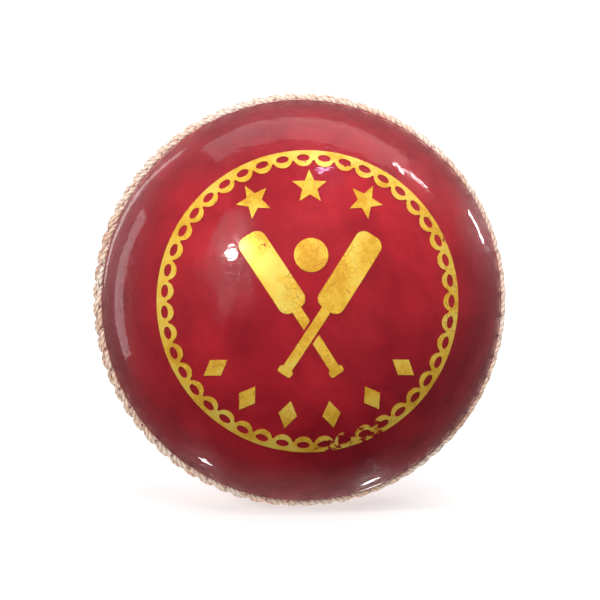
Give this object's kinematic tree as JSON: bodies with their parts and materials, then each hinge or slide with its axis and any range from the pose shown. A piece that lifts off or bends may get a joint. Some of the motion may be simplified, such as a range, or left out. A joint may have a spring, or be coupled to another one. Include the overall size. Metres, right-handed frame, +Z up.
{
  "type": "cricket ball",
  "caption": "Hard leather ball for cricket: a wound cork and yarn core in a sewn leather cover, with a raised stitched seam round its middle and gold foil stamps on its faces.",
  "frame": {"origin": "centre of the ball", "axes": "+Z up; the seam lies in the XZ plane and its axis is Y; the stamped front face looks along -Y and the back face along +Y"},
  "size_m": [0.0728, 0.0716, 0.0728],
  "materials": {
    "cork_rubber": "matte cork and rubber composite",
    "cork": "raw cork",
    "yarn": "wound wool yarn",
    "leather": "lacquered deep red leather",
    "thread": "waxed linen thread",
    "foil": "worn gold foil"
  },
  "bodies": {
    "root": {"core_nucleus": "cork_rubber", "yarn_layer_1": "yarn", "cork_layer_1": "cork", "yarn_layer_2": "yarn", "cork_layer_2": "cork", "yarn_layer_3": "yarn", "cork_layer_3": "cork", "yarn_layer_4": "yarn", "cork_layer_4": "cork", "yarn_layer_5": "yarn", "leather_cup_front": "leather", "leather_cup_back": "leather", "front_inner_stitches": "thread", "front_middle_stitches": "thread", "front_outer_stitches": "thread", "back_inner_stitches": "thread", "back_middle_stitches": "thread", "back_outer_stitches": "thread", "front_foil_lace": "foil", "front_foil_stars": "foil", "front_foil_diamonds": "foil", "front_foil_bats": "foil", "front_foil_ball": "foil", "back_foil_rim": "foil", "back_foil_wicket": "foil"}
  },
  "joints": []
}
